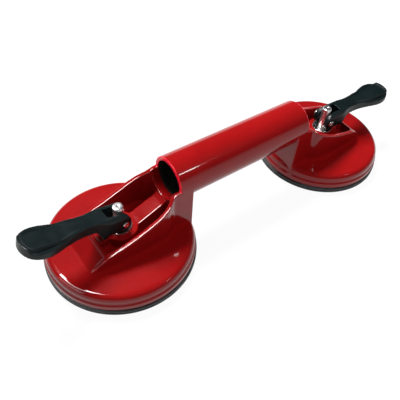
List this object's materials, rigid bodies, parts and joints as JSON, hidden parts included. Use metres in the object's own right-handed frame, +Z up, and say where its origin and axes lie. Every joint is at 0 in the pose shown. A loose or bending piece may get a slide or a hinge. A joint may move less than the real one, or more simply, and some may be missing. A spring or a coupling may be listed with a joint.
{
  "type": "two-cup vacuum lifter",
  "caption": "Hand lifter for glass and tiles: a cast body with a tube handle between vacuum cups, each with a rubber pad pulled up by a cam lever.",
  "frame": {"origin": "on the plane the rubber pads rest on, midway between the cup axes", "axes": "+X along the handle from cup a to cup b, +Z up through the handle"},
  "size_m": [0.3737, 0.12, 0.0753],
  "materials": {
    "red_paint": "gloss",
    "black_rubber": "matte",
    "black_plastic": "satin",
    "chromed_steel": "polished",
    "bright_steel": "bright",
    "zinc_steel": "satin",
    "spring_steel": "satin",
    "bush_plastic": "matte"
  },
  "bodies": {
    "casting": {"cast_body": "red_paint", "stem_bush_a": "bush_plastic", "thrust_washer_a": "bright_steel", "stem_bush_b": "bush_plastic", "thrust_washer_b": "bright_steel"},
    "pad_a": {"rubber_pad_a": "black_rubber", "return_spring_a": "spring_steel"},
    "stem_a": {"pad_plate_a": "zinc_steel", "plate_stud_a": "zinc_steel", "jam_nut_a": "zinc_steel", "stem_a": "chromed_steel", "lever_pin_a": "bright_steel", "pin_cap_a": "bright_steel"},
    "lever_a": {"lever_a": "black_plastic"},
    "pad_b": {"rubber_pad_b": "black_rubber", "return_spring_b": "spring_steel"},
    "stem_b": {"pad_plate_b": "zinc_steel", "plate_stud_b": "zinc_steel", "jam_nut_b": "zinc_steel", "stem_b": "chromed_steel", "lever_pin_b": "bright_steel", "pin_cap_b": "bright_steel"},
    "lever_b": {"lever_b": "black_plastic"}
  },
  "joints": [
    {"name": "swivel_a", "type": "hinge", "parent": "casting", "child": "pad_a", "pos_m": [-0.1108, 0, 0], "axis": [0, 0, 1], "range_deg": [-20.5, 9.5]},
    {"name": "lift_a", "type": "slide", "parent": "pad_a", "child": "stem_a", "axis": [0, 0, 1], "range_m": [-0.00288, 0.00062], "deforming": ["rubber_pad_a", "return_spring_a"]},
    {"name": "lever_turn_a", "type": "hinge", "parent": "stem_a", "child": "lever_a", "pos_m": [-0.1108, 0, 0.03968], "axis": [-0.0958, 0.9954, 0], "range_deg": [-16, 74]},
    {"name": "swivel_b", "type": "hinge", "parent": "casting", "child": "pad_b", "pos_m": [0.1108, 0, 0], "axis": [0, 0, 1], "range_deg": [-12.3, 17.7]},
    {"name": "lift_b", "type": "slide", "parent": "pad_b", "child": "stem_b", "axis": [0, 0, 1], "range_m": [-0.00338, 0.00012], "deforming": ["rubber_pad_b", "return_spring_b"]},
    {"name": "lever_turn_b", "type": "hinge", "parent": "stem_b", "child": "lever_b", "pos_m": [0.1108, 0, 0.04018], "axis": [-0.0471, -0.9989, 0], "range_deg": [-3, 87]}
  ],
  "couplings": [
    {"joint": "lever_turn_a", "follows": "lift_a", "rad_per_m": -448.8},
    {"joint": "lever_turn_b", "follows": "lift_b", "rad_per_m": -448.8}
  ]
}
